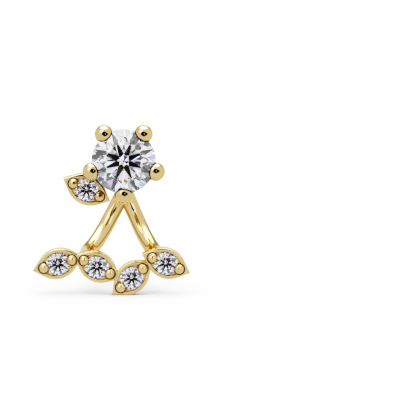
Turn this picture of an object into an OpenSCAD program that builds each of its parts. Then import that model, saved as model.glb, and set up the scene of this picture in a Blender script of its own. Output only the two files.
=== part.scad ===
// Ear jacket earring: a stud with a main brilliant and one leaf beside it, and a
// jacket that hangs from the post behind the ear lobe and carries four leaves in front.
// Millimetres, +Z up. The origin is the middle of the ear lobe on the post's axis, and
// the front looks along -Y. Shapes are modelled face up, with +Z local to the front.

/* [Stones] */
// Diameter of the main stone
stone_d = 5; // [4.9:0.05:5.05]
// Diameter of each small stone
small_d = 1.8; // [1.7:0.02:1.84]
// Turn of the facets about each stone's axis, in degrees
facet_turn = 22.5; // [0:2.5:45]

/* [Ear lobe and post] */
// Thickness of the ear lobe between the stud's base and the jacket's ring
lobe_t = 4.8; // [4.6:0.05:5]
// Diameter of the ear post, a standard wire
post_d = 0.8; // [0.76:0.01:0.82]
// How far the post reaches behind the middle of the lobe
post_reach = 7; // [6.8:0.05:7.4]

/* [Head] */
// Number of ball prongs round the main stone
prong_count = 5; // [4:1:6]
// Diameter of each prong's ball
ball_d = 1.46; // [1.4:0.02:1.56]
// Distance from the stone's axis to each ball's middle
ball_orbit = 2.6; // [2.56:0.01:2.66]
// How far the main stone and its balls are tipped up, in degrees
head_tip = 3.5; // [2.5:0.5:4]
// Diameter of the prong wires
prong_d = 0.6; // [0.5:0.02:0.62]
// Diameter of the disc that the prongs and the post are soldered to
base_d = 2.1; // [2:0.05:2.3]
// Diameter of the gallery ring, at its wire's middle
gallery_d = 3.5; // [3.4:0.05:3.6]

/* [Leaves] */
// Length of a leaf, tip to tip
leaf_l = 4.04; // [4:0.01:4.08]
// Width of a leaf at its middle
leaf_w = 2.34; // [2.3:0.01:2.38]
// Angle between a leaf's long axis and its straight edge at the tip, in degrees
tip_angle = 42; // [41.5:0.25:43]
// Thickness of a leaf from front to back
leaf_t = 1.1; // [1.1:0.02:1.2]
// Width of the raised rim round a leaf
rim_w = 0.3; // [0.26:0.01:0.32]
// Depth of the floor below the rim
recess = 0.12; // [0.1:0.01:0.14]
// Diameter of each bead that holds a small stone
bead_d = 0.78; // [0.7:0.02:0.8]
// Distance from a leaf's middle to each bead's middle
bead_reach = 1.12; // [1.1:0.01:1.14]

/* [Jacket] */
// Thickness of the ring behind the ear lobe
hub_t = 1.1; // [1:0.02:1.14]
// Outer diameter of that ring
hub_d = 2.5; // [2.3:0.05:2.6]
// Gap between the post and the ring's bore, all round
post_fit = 0.08; // [0.05:0.01:0.1]
// Diameter of the arms at the top
arm_d = 1.22; // [1.16:0.01:1.24]
// Diameter of the arms where they join the leaves
arm_end_d = 1.26; // [1.2:0.01:1.28]
// Depth below the post at which the stem splits into two arms
split_drop = 3.3; // [3.2:0.05:3.4]
// Depth below the post at which the arms start to curve forward
bend_drop = 4.25; // [4.2:0.05:4.3]
// Radius of the arms' curve under the ear lobe
bend_r = 3.6; // [3.5:0.05:3.65]

/* [Ear back] */
// Diameter of the ear back's flange
back_d = 2.5; // [2.3:0.05:2.6]
// Length of the ear back along the post
back_l = 2.5; // [2.3:0.05:2.6]

/* [Hidden] */

$fn = 48;
gold = "#dcb76c";
diamond = "#eef1f6";

// Proportions of a round brilliant: shares of its diameter or radius, and angles
table_share = 0.57;
girdle_share = 0.03;
lower_half_share = 0.77;
crown_angle = 34.5;
pavilion_angle = 40.75;
half_step = 22.5;
stone_gap = 0.02;

// Heights towards the front, from the middle of the lobe
lobe_half = lobe_t / 2;
base_t = 0.3;
culet_gap = 0.15;
culet_h = lobe_half + base_t + culet_gap;
stone_h = culet_h + stone_d / 2 * tan(pavilion_angle) + stone_d * girdle_share;
ball_drop = 0.25;
gallery_h = lobe_half + 1.15;
gallery_wire_d = 0.44;
prong_foot_r = 0.8;
prong_foot_h = lobe_half + 0.8 * base_t;
stud_leaf_h = 4.1;
row_h = 4.2;

// Leaves: sideways and upwards place of the middle, and turn of the long axis in degrees
stud_leaf = [-2.91, -2.35, -26.5];
row_leaves = [[-5.14, -8.14, 16],
              [-2.1, -8.38, -27],
              [0.6, -9.24, 40.5],
              [3.25, -8.1, -22.5]];
belly_r = (leaf_l / 2 * sin(tip_angle) - leaf_w / 2 * cos(tip_angle)) / (1 - cos(tip_angle));
leaf_hole_d = 0.44;
bead_lift = 0.03;
stud_bar_d = 0.56;
stud_bar_reach = 2.85;

// Arms, measured down the stem from the split and then forward under the lobe.
// For each arm: its sideways place at the split, and its sideways step per length.
arm_back = 2.95;
arms = [[-0.1, -0.505],
        [0, 0.425]];
ease_start = 5.1;
ease_l = 0.6;
stem_d = arm_d + 0.04;
stem_top = 0.3 - hub_d / 2;
bend_start = bend_drop - split_drop;
bend_l = bend_r * PI / 2;
leaf_back_h = row_h - leaf_t;
arm_sink = 0.12;
arm_l = bend_start + bend_l + leaf_back_h + arm_sink + arm_back - bend_r;
arm_steps = 36;
arm_sides = 16;

back_gap = 0.18;
back_flange_t = 0.5;
back_barrel_d = 1.9;
back_fit = 0.02;

// Points round a circle at one height
function ring(count, r, h, turn) =
    [for (k = [0:count - 1]) [r * cos(turn + k * 360 / count), r * sin(turn + k * 360 / count), h]];

// Round brilliant with 57 facets, its girdle's top at height 0 and its table upwards
module brilliant(d) {
    r = d / 2;
    table_r = r * table_share;
    crown_h = (r - table_r) * tan(crown_angle);
    star_r = (table_r * cos(half_step) + r) / 2;
    star_h = crown_h - (star_r * cos(half_step) - table_r) * tan(crown_angle);
    girdle_t = d * girdle_share;
    lower_r = r * (1 - lower_half_share);
    lower_h = -girdle_t - (r - lower_r * cos(half_step)) * tan(pavilion_angle);
    tip_h = -girdle_t - r * tan(pavilion_angle);

    // First point of each ring in the list
    star = 8;
    upper = 16;
    under = 32;
    lower = 48;
    culet = 56;
    points = concat(
        ring(8, table_r, crown_h, 0),
        ring(8, star_r, star_h, half_step),
        ring(16, r, 0, 0),
        ring(16, r, -girdle_t, 0),
        ring(8, lower_r, lower_h, half_step),
        [[0, 0, tip_h]]);
    faces = concat(
        [[7, 6, 5, 4, 3, 2, 1, 0]],
        [for (k = [0:7]) [k, (k + 1) % 8, star + k]],
        [for (k = [0:7]) [k, star + k, upper + 2 * k, star + (k + 7) % 8]],
        [for (k = [0:7]) [star + k, upper + 2 * k + 1, upper + 2 * k]],
        [for (k = [0:7]) [star + k, upper + (2 * k + 2) % 16, upper + 2 * k + 1]],
        [for (m = [0:15]) [under + m, upper + m, upper + (m + 1) % 16, under + (m + 1) % 16]],
        [for (k = [0:7]) [under + 2 * k, under + 2 * k + 1, lower + k]],
        [for (k = [0:7]) [under + 2 * k + 1, under + (2 * k + 2) % 16, lower + k]],
        [for (k = [0:7]) [culet, lower + (k + 7) % 8, under + 2 * k, lower + k]]);
    rotate(facet_turn) polyhedron(points, faces);
}

// The room that a brilliant takes, turned about its axis, with a gap all round
module brilliant_room(d) {
    r = d / 2;
    crown_h = r * (1 - table_share) * tan(crown_angle);
    girdle_t = d * girdle_share;
    rotate_extrude()
        polygon([
            [0, -girdle_t - r * tan(pavilion_angle) - stone_gap / cos(pavilion_angle)],
            [r + stone_gap, -girdle_t - stone_gap * (1 / cos(pavilion_angle) - tan(pavilion_angle))],
            [r + stone_gap, stone_gap * (1 / cos(crown_angle) - tan(crown_angle))],
            [r * table_share + stone_gap, crown_h + stone_gap],
            [0, crown_h + stone_gap]]);
}

// Stands a face-up shape upright, so that its top looks along -Y
module upright() {
    rotate([90, 0, 0]) children();
}

// Moves a shape in a leaf's own frame to that leaf's place
module at_leaf(place) {
    translate([place[0], place[1], 0]) rotate(place[2]) children();
}

// A leaf's outline, two arcs that run out into straight tips, drawn in by an inset
module leaf_outline(inset) {
    arc_y = leaf_w / 2 - belly_r;
    r = belly_r - inset;
    tip_x = leaf_l / 2 - inset / sin(tip_angle);
    join_x = r * sin(tip_angle);
    join_y = arc_y + r * cos(tip_angle);
    intersection() {
        translate([0, arc_y]) circle(r, $fn = 96);
        translate([0, -arc_y]) circle(r, $fn = 96);
    }
    polygon([[tip_x, 0], [join_x, join_y], [-join_x, join_y],
             [-tip_x, 0], [-join_x, -join_y], [join_x, -join_y]]);
}

// The two beads of a leaf whose front is at height h
module leaf_beads(place, h) {
    for (side = [-1, 1])
        at_leaf(place) translate([side * bead_reach, 0, h - recess + bead_lift]) sphere(d = bead_d);
}

// What a leaf's small stone takes out of the metal: its seat, and a hole to the back
module leaf_seat(place, h) {
    at_leaf(place) {
        translate([0, 0, h - recess]) brilliant_room(small_d);
        translate([0, 0, h - leaf_t - 1]) cylinder(h = leaf_t, d = leaf_hole_d);
    }
}

// A point of the head, given from the middle of the main stone's girdle, once it is tipped
function head_point(x, y, z) =
    [x, y * cos(head_tip) + z * sin(head_tip), stone_h - y * sin(head_tip) + z * cos(head_tip)];

// Moves a shape to the middle of the main stone's girdle, tipped with the head
module at_head() {
    translate([0, 0, stone_h]) rotate([-head_tip, 0, 0]) children();
}

// A straight round wire between two points, square ended
module wire(start, end, d) {
    span = end - start;
    lean = acos(span[2] / norm(span));
    heading = atan2(span[1], span[0]);
    translate(start) rotate([0, lean, heading]) cylinder(h = norm(span), d = d);
}

module head_prongs() {
    for (k = [0:prong_count - 1]) {
        heading = 270 + k * 360 / prong_count;
        foot = [prong_foot_r * cos(heading), prong_foot_r * sin(heading), prong_foot_h];
        top = head_point(ball_orbit * cos(heading), ball_orbit * sin(heading), -ball_drop);
        wire(foot, top, prong_d);
        translate(top) rotate(heading) sphere(d = ball_d);
    }
}

module head_base() {
    translate([0, 0, lobe_half]) cylinder(h = base_t, d = base_d);
    translate([0, 0, gallery_h])
        rotate_extrude() translate([gallery_d / 2, 0]) circle(d = gallery_wire_d, $fn = 24);
}

// Ear post with a rounded end, from inside the base to behind the lobe
module post() {
    translate([0, 0, post_d / 2 - post_reach]) sphere(d = post_d);
    translate([0, 0, post_d / 2 - post_reach])
        cylinder(h = post_reach - post_d / 2 + lobe_half + base_t / 2, d = post_d);
}

// The small leaf beside the main stone, with the bar that joins it to the gallery
module stud_leaf_metal() {
    heading = atan2(stud_leaf[1], stud_leaf[0]);
    bar_start = gallery_d / 2 * [cos(heading), sin(heading)];
    bar_end = stud_bar_reach * [cos(heading), sin(heading)];
    difference() {
        translate([0, 0, stud_leaf_h - leaf_t])
            linear_extrude(leaf_t) at_leaf(stud_leaf) leaf_outline(0);
        translate([0, 0, stud_leaf_h - recess])
            linear_extrude(leaf_t) at_leaf(stud_leaf) leaf_outline(rim_w);
    }
    wire([bar_start[0], bar_start[1], gallery_h], [bar_end[0], bar_end[1], gallery_h], stud_bar_d);
    leaf_beads(stud_leaf, stud_leaf_h);
}

// Stud setting: basket, ball prongs, post and the small leaf, one soldered solid
module stud_setting() {
    color(gold) upright() difference() {
        union() {
            head_prongs();
            head_base();
            post();
            stud_leaf_metal();
        }
        at_head() brilliant_room(stone_d);
        leaf_seat(stud_leaf, stud_leaf_h);
    }
}

module centre_stone() {
    color(diamond) upright() at_head() brilliant(stone_d);
}

module leaf_stone(place, h) {
    color(diamond) upright()
        translate([place[0], place[1], h - recess]) brilliant(small_d);
}

// Ear back: a flange and a barrel that grip the post behind the jacket's ring
module ear_back() {
    face_h = -lobe_half - hub_t - back_gap;
    color(gold) upright() difference() {
        union() {
            translate([0, 0, face_h - back_flange_t]) cylinder(h = back_flange_t, d = back_d);
            translate([0, 0, face_h - back_l]) cylinder(h = back_l, d = back_barrel_d);
        }
        translate([0, 0, face_h - back_l - 1])
            cylinder(h = back_l + 2, d = post_d + 2 * back_fit);
    }
}

// Sideways place of an arm after a length s: a straight slope that eases off at its end
function arm_side(s, arm) =
    arm[0] + arm[1] * (s < ease_start ? s : ease_start + ease_l * (1 - exp((ease_start - s) / ease_l)));

// Height and depth of an arm after a length s: down, round the bend, then forward
function arm_profile(s) =
    s < bend_start ? [-split_drop - s, -arm_back]
    : s < bend_start + bend_l
        ? let (turn = (s - bend_start) / bend_r * 180 / PI)
          [-bend_drop - bend_r * sin(turn), -arm_back + bend_r * (1 - cos(turn))]
        : [-bend_drop - bend_r, -arm_back + bend_r + s - bend_start - bend_l];

function arm_point(s, arm) =
    let (profile = arm_profile(s)) [arm_side(s, arm), profile[0], profile[1]];

function unit(v) = v / norm(v);

// One ring of the arm's surface, square to its path
function arm_ring(s, arm) =
    let (step = 0.02,
         along = unit(arm_point(s + step, arm) - arm_point(s - step, arm)),
         across = unit([1, 0, 0] - along[0] * along),
         over = cross(along, across),
         r = (arm_d + (arm_end_d - arm_d) * s / arm_l) / 2)
    [for (k = [0:arm_sides - 1])
        let (turn = k * 360 / arm_sides)
        arm_point(s, arm) + r * (cos(turn) * across + sin(turn) * over)];

module arm_wire(arm) {
    rings = [for (i = [0:arm_steps]) arm_ring(arm_l * i / arm_steps, arm)];
    points = [for (one = rings) each one];
    last = arm_steps * arm_sides;
    sides = [for (i = [0:arm_steps - 1]) for (k = [0:arm_sides - 1])
        let (a = i * arm_sides + k, b = i * arm_sides + (k + 1) % arm_sides)
        [a, a + arm_sides, b + arm_sides, b]];
    start_cap = [[for (k = [0:arm_sides - 1]) k]];
    end_cap = [[for (k = [arm_sides - 1:-1:0]) last + k]];
    polyhedron(points, concat(sides, start_cap, end_cap), convexity = 6);
}

// The ring round the post, the stem below it and the two arms
module jacket_arms() {
    translate([0, 0, -lobe_half - hub_t]) cylinder(h = hub_t, d = hub_d);
    translate([0, -split_drop, -arm_back]) sphere(d = stem_d);
    wire([0, -split_drop, -arm_back], [0, stem_top, -arm_back], stem_d);
    for (arm = arms)
        arm_wire(arm);
}

// The floor of one leaf of the row, kept off the rim of the leaf that laps over it
module row_floor(i) {
    difference() {
        at_leaf(row_leaves[i]) leaf_outline(rim_w);
        if (i == 1 || i == 2)
            at_leaf(row_leaves[i + 1]) leaf_outline(0);
    }
}

module row_plate() {
    difference() {
        translate([0, 0, leaf_back_h]) linear_extrude(leaf_t)
            for (place = row_leaves)
                at_leaf(place) leaf_outline(0);
        for (i = [0:len(row_leaves) - 1])
            translate([0, 0, row_h - recess]) linear_extrude(leaf_t) row_floor(i);
    }
}

// Jacket frame: post ring, arms and the row of four leaves, one soldered solid
module jacket_frame() {
    color(gold) upright() difference() {
        union() {
            row_plate();
            for (place = row_leaves)
                leaf_beads(place, row_h);
            jacket_arms();
        }
        for (place = row_leaves)
            leaf_seat(place, row_h);
        translate([0, 0, -lobe_half - hub_t - 1])
            cylinder(h = hub_t + 2, d = post_d + 2 * post_fit);
    }
}

stud_setting();
centre_stone();
leaf_stone(stud_leaf, stud_leaf_h);  // stud_leaf_stone
ear_back();
jacket_frame();
leaf_stone(row_leaves[0], row_h);  // jacket_stone_1
leaf_stone(row_leaves[1], row_h);  // jacket_stone_2
leaf_stone(row_leaves[2], row_h);  // jacket_stone_3
leaf_stone(row_leaves[3], row_h);  // jacket_stone_4
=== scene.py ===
"""Ear jacket earring in yellow gold with round brilliants, on a plain pale floor.

Shapes are drawn face up and in millimetres: x to the right, y up the ear and h out
towards the front. A finished mesh is stood upright, so that its front looks along -Y,
and is written in metres.
"""

from __future__ import annotations

import enum
import logging
import math
from collections.abc import Callable, Mapping, Sequence
from dataclasses import dataclass, field

import bmesh
import bpy
import numpy as np
from mathutils import Matrix, Vector

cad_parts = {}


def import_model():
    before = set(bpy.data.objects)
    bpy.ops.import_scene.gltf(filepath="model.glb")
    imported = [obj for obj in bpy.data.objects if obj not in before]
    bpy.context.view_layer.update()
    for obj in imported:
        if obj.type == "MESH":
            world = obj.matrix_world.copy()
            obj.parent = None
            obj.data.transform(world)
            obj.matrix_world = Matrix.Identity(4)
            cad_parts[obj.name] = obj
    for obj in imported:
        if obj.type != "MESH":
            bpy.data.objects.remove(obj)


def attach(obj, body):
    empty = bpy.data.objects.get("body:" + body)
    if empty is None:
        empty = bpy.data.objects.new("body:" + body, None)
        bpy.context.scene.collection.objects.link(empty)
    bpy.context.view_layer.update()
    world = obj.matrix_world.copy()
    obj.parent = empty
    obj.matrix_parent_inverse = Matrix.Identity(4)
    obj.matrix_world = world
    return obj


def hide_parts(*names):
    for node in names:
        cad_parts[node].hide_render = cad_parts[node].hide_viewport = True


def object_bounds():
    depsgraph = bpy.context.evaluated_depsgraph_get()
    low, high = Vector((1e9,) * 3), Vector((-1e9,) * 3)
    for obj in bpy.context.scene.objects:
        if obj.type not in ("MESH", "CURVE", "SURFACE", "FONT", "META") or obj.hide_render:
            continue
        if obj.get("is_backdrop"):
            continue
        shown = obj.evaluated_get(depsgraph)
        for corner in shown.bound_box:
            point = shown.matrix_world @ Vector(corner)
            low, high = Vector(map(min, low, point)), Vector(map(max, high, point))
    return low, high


LOG = logging.getLogger("ear_jacket")
MM = 0.001
Pair = tuple[float, float]
Point = tuple[float, float, float]
Colour = tuple[float, float, float, float]
GIRDLE = "girdle"
WHITE: Colour = (1.0, 1.0, 1.0, 1.0)
# In millimetres: the radius at which a turned profile ends on its axis, the distance
# at which corners are one, the reach of a cut, and how far a tool stands out of the metal.
AXIS = 1e-4
JOINED = 1e-5
TOUCH = 1e-6
OVER = 0.5
# In metres: how far the floor lies under the lowest leaf tip.
FLOOR_GAP = 2e-6
# Edges of the metal that turn by more than this stay sharp.
CRISP_DEG = 32.0
# Points round a turned form or a wire, by its size.
LARGE = 96
MIDDLE = 64
SMALL = 48
WIRE = 32


class Body(enum.Enum):
    """The two moving halves of the earring."""

    STUD = "stud"
    JACKET = "jacket"


class Slot(enum.Enum):
    """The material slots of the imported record."""

    GOLD = "gold"
    DIAMOND = "diamond"


class Work(enum.Enum):
    """How one shape is worked into another."""

    SOLDER = "UNION"
    CARVE = "DIFFERENCE"


# Node trees


class Signal:
    """An output socket of a node tree that can stand in a Python expression."""

    def __init__(self, sheet: NodeSheet, socket: bpy.types.NodeSocket) -> None:
        """Wraps one socket of the sheet's tree."""
        self.sheet = sheet
        self.socket = socket

    def _math(self, operation: str, *terms: Signal | float) -> Signal:
        """Adds one Math node that works on the terms in order."""
        values = dict(enumerate(terms))
        return self.sheet.signal("ShaderNodeMath", {"operation": operation}, values)

    def __add__(self, other: Signal | float) -> Signal:
        """Returns this signal plus the other."""
        return self._math("ADD", self, other)

    def __radd__(self, other: float) -> Signal:
        """Returns the number plus this signal."""
        return self._math("ADD", other, self)

    def __sub__(self, other: Signal | float) -> Signal:
        """Returns this signal minus the other."""
        return self._math("SUBTRACT", self, other)

    def __rsub__(self, other: float) -> Signal:
        """Returns the number minus this signal."""
        return self._math("SUBTRACT", other, self)

    def __mul__(self, other: Signal | float) -> Signal:
        """Returns this signal times the other."""
        return self._math("MULTIPLY", self, other)

    def __rmul__(self, other: float) -> Signal:
        """Returns the number times this signal."""
        return self._math("MULTIPLY", other, self)

    def root(self) -> Signal:
        """Returns this signal's square root."""
        return self._math("POWER", self, 0.5)

    def step(self, low: float, high: float) -> Signal:
        """Makes a smooth step of this signal.

        Args:
            low: Where the step is 0.
            high: Where the step is 1; it may lie below low.

        Returns:
            A signal from 0 to 1.
        """
        settings = {"interpolation_type": "SMOOTHSTEP", "clamp": True}
        values = {"Value": self, "From Min": min(low, high), "From Max": max(low, high)}
        rise = self.sheet.signal("ShaderNodeMapRange", settings, values)
        return rise if low < high else 1 - rise


class NodeSheet:
    """Writes nodes and links into one node tree."""

    def __init__(self, tree: bpy.types.NodeTree) -> None:
        """Takes an empty or cleared tree."""
        self.tree = tree

    def node(
        self,
        kind: str,
        settings: Mapping[str, object] | None = None,
        values: Mapping[str | int, object] | None = None,
    ) -> bpy.types.Node:
        """Adds one node.

        Args:
            kind: The node's type.
            settings: Its own properties, which are set first.
            values: Numbers, tuples or signals by input name, identifier or place.

        Returns:
            The new node.
        """
        made = self.tree.nodes.new(kind)
        for name, setting in (settings or {}).items():
            setattr(made, name, setting)
        for key, value in (values or {}).items():
            self._feed(self._input(made, key), value)
        return made

    def signal(
        self,
        kind: str,
        settings: Mapping[str, object] | None = None,
        values: Mapping[str | int, object] | None = None,
        output: str | int = 0,
    ) -> Signal:
        """Adds one node for the sake of one output.

        Args:
            kind: The node's type.
            settings: Its own properties.
            values: Its inputs.
            output: The output's name, identifier or place.

        Returns:
            That output.
        """
        return self.output(self.node(kind, settings, values), output)

    def output(self, node: bpy.types.Node, key: str | int) -> Signal:
        """Finds an output of a node.

        Args:
            node: The node.
            key: The output's name, identifier or place.

        Returns:
            The output as a signal.
        """
        if isinstance(key, int):
            return Signal(self, node.outputs[key])
        return Signal(self, next(s for s in node.outputs if key in (s.identifier, s.name)))

    def _input(self, node: bpy.types.Node, key: str | int) -> bpy.types.NodeSocket:
        """Finds an input of a node.

        Args:
            node: The node.
            key: The input's place, identifier or name.

        Returns:
            The socket.
        """
        if isinstance(key, int):
            return node.inputs[key]
        exact = [s for s in node.inputs if s.identifier == key]
        return (exact or [s for s in node.inputs if s.name == key and s.enabled])[0]

    def _feed(self, socket: bpy.types.NodeSocket, value: object) -> None:
        """Feeds one input.

        Args:
            socket: The input.
            value: A signal, which is linked, or a plain value, which is set.
        """
        if isinstance(value, Signal):
            self.tree.links.new(value.socket, socket)
        else:
            socket.default_value = value

    def blend(self, share: Signal, first: Colour | Signal, second: Colour | Signal) -> Signal:
        """Mixes two colours.

        Args:
            share: How much of the second shows, from 0 to 1.
            first: The first colour.
            second: The second colour.

        Returns:
            The mixed colour.
        """
        return self.signal(
            "ShaderNodeMix",
            {"data_type": "RGBA"},
            {"Factor_Float": share, "A_Color": first, "B_Color": second},
            "Result_Color",
        )

    def toward(self, direction: Signal, aim: Vector) -> Signal:
        """Compares a direction with a fixed aim.

        Args:
            direction: The direction, of length 1.
            aim: The aim, of any length.

        Returns:
            The cosine of the angle between them.
        """
        return self.signal(
            "ShaderNodeVectorMath",
            {"operation": "DOT_PRODUCT"},
            {0: direction, 1: tuple(aim.normalized())},
            "Value",
        )

    def cone(self, direction: Signal, aim: Vector, outer_deg: float, inner_deg: float) -> Signal:
        """Marks the directions near an aim.

        Args:
            direction: The direction, of length 1.
            aim: The cone's axis.
            outer_deg: Angle from the axis at which the mark has gone.
            inner_deg: Angle from the axis up to which it is full.

        Returns:
            A mark from 0 to 1.
        """
        outer, inner = (math.cos(math.radians(angle)) for angle in (outer_deg, inner_deg))
        return self.toward(direction, aim).step(outer, inner)

    def noise(self, where: Signal, scale: float, detail: float = 2.0) -> Signal:
        """Makes soft noise.

        Args:
            where: The place that it is read at.
            scale: Its scale for each unit of the place.
            detail: How many finer layers it has.

        Returns:
            A signal round the middle of 0 to 1.
        """
        return self.signal(
            "ShaderNodeTexNoise", None, {"Vector": where, "Scale": scale, "Detail": detail}
        )


# Finishes


def new_material(name: str) -> tuple[bpy.types.Material, NodeSheet]:
    """Makes an empty node material.

    Args:
        name: The material's name.

    Returns:
        The material, and the sheet that writes its tree.
    """
    material = bpy.data.materials.new(name)
    material.use_nodes = True
    material.node_tree.nodes.clear()
    return material, NodeSheet(material.node_tree)


@dataclass(frozen=True)
class GoldFinish:
    """Polished yellow gold with the faint marks that polishing leaves.

    The seat is the line where the ball prongs grip the main stone's crown; a thin painted shadow,
    partly a painted reflection of the dark crown, darkens the colour along it. It is found in the
    stone's own frame, in millimetres.
    """

    name: str = "polished_yellow_gold"
    pale: Colour = (0.74, 0.585, 0.335, 1)
    deep: Colour = (0.68, 0.535, 0.295, 1)
    cloud_scale: float = 700.0
    cloud_edge: Pair = (0.3, 0.7)
    # Painted shade: ambient occlusion darkens the colour towards this in crevices, cups and where parts
    # meet.
    crevice_shade: Colour = (0.34, 0.2, 0.075, 1)
    shade_reach: float = 1.5e-4
    shade_rays: int = 12
    shade_edge: Pair = (0.15, 0.6)
    seat_at: Point = (0.0, -5.1544e-3, 0.0)
    seat_stand_deg: float = 86.5
    seat_crown_deg: float = 34.5
    seat_r: float = 2.5
    seat_top: Pair = (0.17, 0.1)
    seat_foot: Pair = (-0.1, -0.05)
    seat_spread: float = 0.1
    # Painted shadow, partly a painted reflection of the dark crown, where the balls grip the stone.
    seat_shadow_colour: Colour = (0.02, 0.012, 0.006, 1)
    edge: Colour = (1.0, 0.86, 0.6, 1)
    shine: float = 0.04
    haze: float = 0.05
    swirl_scale: float = 2600.0
    mark_scale: float = 22000.0
    mark_turn: Point = (0.5, 0.3, 0.8)
    mark_squash: Point = (1.0, 1.0, 0.12)
    mark_depth: float = 0.25
    mark_edge: Pair = (0.35, 0.75)
    ripple: float = 2.2e-7

    def _painted_seat_shadow(self, sheet: NodeSheet, where: Signal) -> Signal:
        """Finds the thin line of shadow where the balls grip the main stone's crown.

        Args:
            sheet: The material's sheet.
            where: A point of the metal, in metres.

        Returns:
            The share of shadow, from 0 to 1.
        """
        values = {
            "Vector": where,
            "Location": self.seat_at,
            "Rotation": (math.radians(self.seat_stand_deg), 0, 0),
            "Scale": (MM, MM, MM),
        }
        local = sheet.signal("ShaderNodeMapping", {"vector_type": "TEXTURE"}, values)
        parts = sheet.node("ShaderNodeSeparateXYZ", None, {"Vector": local})
        x, y, h = (sheet.output(parts, axis) for axis in "XYZ")
        away = (x * x + y * y).root()
        clear = h - (self.seat_r - away) * math.tan(math.radians(self.seat_crown_deg))
        inside = away.step(self.seat_r + self.seat_spread, self.seat_r)
        return clear.step(*self.seat_top) * clear.step(*self.seat_foot) * inside

    def make(self) -> bpy.types.Material:
        """Builds the finish.

        Returns:
            A metal whose colour, gloss and surface vary a little from place to place, its colour
            darkened by painted shade in crevices and by a painted shadow along the seat.
        """
        material, sheet = new_material(self.name)
        where = sheet.signal("ShaderNodeTexCoord", output="Object")
        cloud = sheet.noise(where, self.cloud_scale, 3)
        swirl = sheet.noise(where, self.swirl_scale, 4)
        brushed = sheet.signal(
            "ShaderNodeMapping",
            None,
            {"Vector": where, "Rotation": self.mark_turn, "Scale": self.mark_squash},
        )
        marks = sheet.noise(brushed, self.mark_scale, 3)
        bump = sheet.signal(
            "ShaderNodeBump",
            None,
            {
                "Strength": 1.0,
                "Distance": self.ripple,
                "Height": swirl + self.mark_depth * marks,
            },
        )
        # How open each point is to the room; where little is open, shade is painted into the colour
        # below.
        free = sheet.signal(
            "ShaderNodeAmbientOcclusion",
            {"samples": self.shade_rays},
            {"Distance": self.shade_reach},
            "AO",
        )
        colour = sheet.blend(cloud.step(*self.cloud_edge), self.deep, self.pale)
        # Painted shade in crevices and where parts meet.
        colour = sheet.blend(free.step(*self.shade_edge), self.crevice_shade, colour)
        # Painted shadow along the seat, where the balls grip the main stone.
        colour = sheet.blend(self._painted_seat_shadow(sheet, where), colour, self.seat_shadow_colour)
        shader = sheet.signal(
            "ShaderNodeBsdfPrincipled",
            None,
            {
                "Base Color": colour,
                "Metallic": 1.0,
                "Roughness": self.shine + self.haze * marks.step(*self.mark_edge),
                "Specular Tint": self.edge,
                "Normal": bump,
            },
        )
        sheet.node("ShaderNodeOutputMaterial", None, {"Surface": shader})
        return material


@dataclass(frozen=True)
class DiamondFinish:
    """Clear cut diamond."""

    name: str = "clear_diamond"
    clear: Colour = (1.0, 1.0, 1.0, 1)
    cool: Colour = (0.985, 0.985, 1.0, 1)
    bruted: Colour = (0.5, 0.48, 0.47, 1)
    cloud_scale: float = 500.0
    cloud_edge: Pair = (0.35, 0.65)
    grain: float = 0.3
    index: float = 2.417

    def make(self) -> bpy.types.Material:
        """Builds the finish.

        Returns:
            A clear refracting material with a trace of cool tint in places, and a
            finely ground girdle.
        """
        material, sheet = new_material(self.name)
        where = sheet.signal("ShaderNodeTexCoord", output="Object")
        cloud = sheet.noise(where, self.cloud_scale)
        ground = sheet.signal("ShaderNodeAttribute", {"attribute_name": GIRDLE}, output="Fac")
        body = sheet.blend(cloud.step(*self.cloud_edge), self.clear, self.cool)
        shader = sheet.signal(
            "ShaderNodeBsdfPrincipled",
            None,
            {
                "Base Color": sheet.blend(ground, body, self.bruted),
                "Roughness": self.grain * ground,
                "IOR": self.index,
                "Transmission Weight": 1.0,
            },
        )
        sheet.node("ShaderNodeOutputMaterial", None, {"Surface": shader})
        return material


@dataclass(frozen=True)
class FloorFinish:
    """Plain pale floor."""

    name: str = "pale_floor"
    light: Colour = (0.9, 0.9, 0.9, 1)
    dim: Colour = (0.885, 0.885, 0.885, 1)
    mottle_scale: float = 60.0
    rough: float = 0.9
    gloss: float = 0.1

    def make(self) -> bpy.types.Material:
        """Builds the finish.

        Returns:
            A matt white with hardly any mottle.
        """
        material, sheet = new_material(self.name)
        where = sheet.signal("ShaderNodeTexCoord", output="Object")
        mottle = sheet.noise(where, self.mottle_scale, 3)
        shader = sheet.signal(
            "ShaderNodeBsdfPrincipled",
            None,
            {
                "Base Color": sheet.blend(mottle, self.dim, self.light),
                "Roughness": self.rough,
                "Specular IOR Level": self.gloss,
            },
        )
        sheet.node("ShaderNodeOutputMaterial", None, {"Surface": shader})
        return material


# Meshes


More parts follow.
